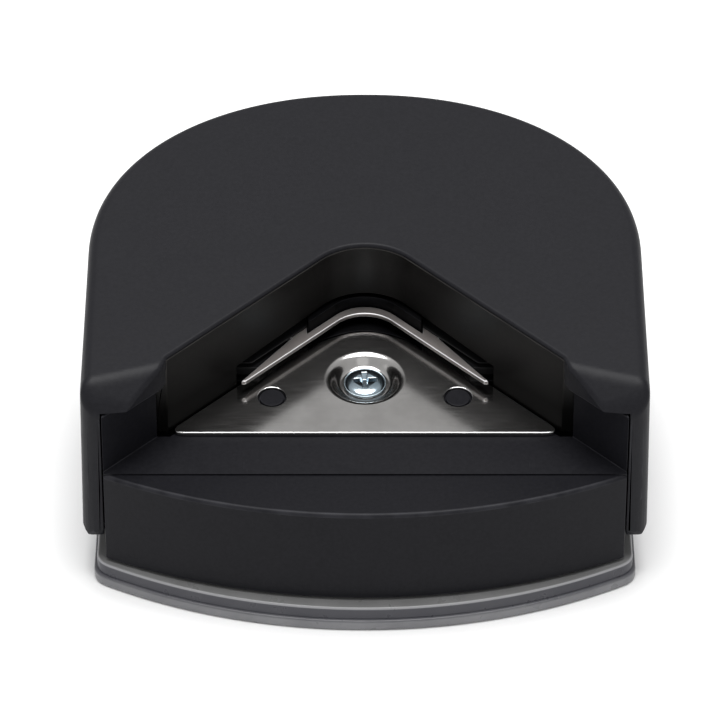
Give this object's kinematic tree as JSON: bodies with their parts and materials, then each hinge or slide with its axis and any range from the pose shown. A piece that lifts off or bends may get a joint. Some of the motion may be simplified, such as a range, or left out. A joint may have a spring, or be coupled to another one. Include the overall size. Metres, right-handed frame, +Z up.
{
  "type": "corner rounder punch",
  "caption": "Hand-pressed corner rounder for paper and cards: hinged V-cut lever over a steel table with a radius punch and die, on a snap-off chip tray.",
  "frame": {"origin": "centre of the tray's flat underside, on the surface the punch stands on", "axes": "+Z up, +Y from the card throat towards the back, +X to the right"},
  "size_m": [0.065, 0.0648, 0.0312],
  "materials": {
    "lever_plastic": "fine spark-eroded texture",
    "liner_plastic": "smooth satin",
    "base_plastic": "smooth satin, lightly scuffed",
    "guide_plastic": "moulded",
    "table_steel": "fine satin",
    "stripper_steel": "zinc plated",
    "tool_steel": "hardened, dark",
    "screw_steel": "bright zinc",
    "spring_steel": "drawn wire",
    "tray_plastic": "translucent smoke"
  },
  "bodies": {
    "base": {"base_housing": "base_plastic", "table_plate": "table_steel", "table_screw": "screw_steel", "die_plate": "tool_steel", "card_stop_left": "guide_plastic", "card_stop_right": "guide_plastic", "stripper_plate": "stripper_steel", "punch_guide": "guide_plastic", "pivot_axle": "tool_steel", "guide_screw_left": "screw_steel", "guide_screw_right": "screw_steel", "return_spring_left": "spring_steel", "return_spring_right": "spring_steel"},
    "lever": {"lever_cover": "lever_plastic", "throat_liner": "liner_plastic", "drive_pin": "screw_steel", "stop_screw": "screw_steel", "liner_screw_left": "screw_steel", "liner_screw_right": "screw_steel"},
    "punch": {"punch_blade": "tool_steel"},
    "tray": {"chip_tray": "tray_plastic"}
  },
  "joints": [
    {"name": "lever_press", "type": "hinge", "parent": "base", "child": "lever", "pos_m": [0, -0.0192, 0.0106], "axis": [-1, 0, 0], "range_deg": [0, 4], "stiffness_Nm_per_rad": 0.9, "springref_deg": -8.59, "deforming": ["return_spring_left", "return_spring_right"]},
    {"name": "punch_stroke", "type": "slide", "parent": "base", "child": "punch", "axis": [0, 0, -1], "range_m": [0, 0.002]},
    {"name": "tray_release", "type": "slide", "parent": "base", "child": "tray", "axis": [0, 0, -1], "range_m": [0, 0.012]}
  ],
  "couplings": [
    {"joint": "punch_stroke", "follows": "lever_press", "m_per_rad": 0.0281}
  ]
}
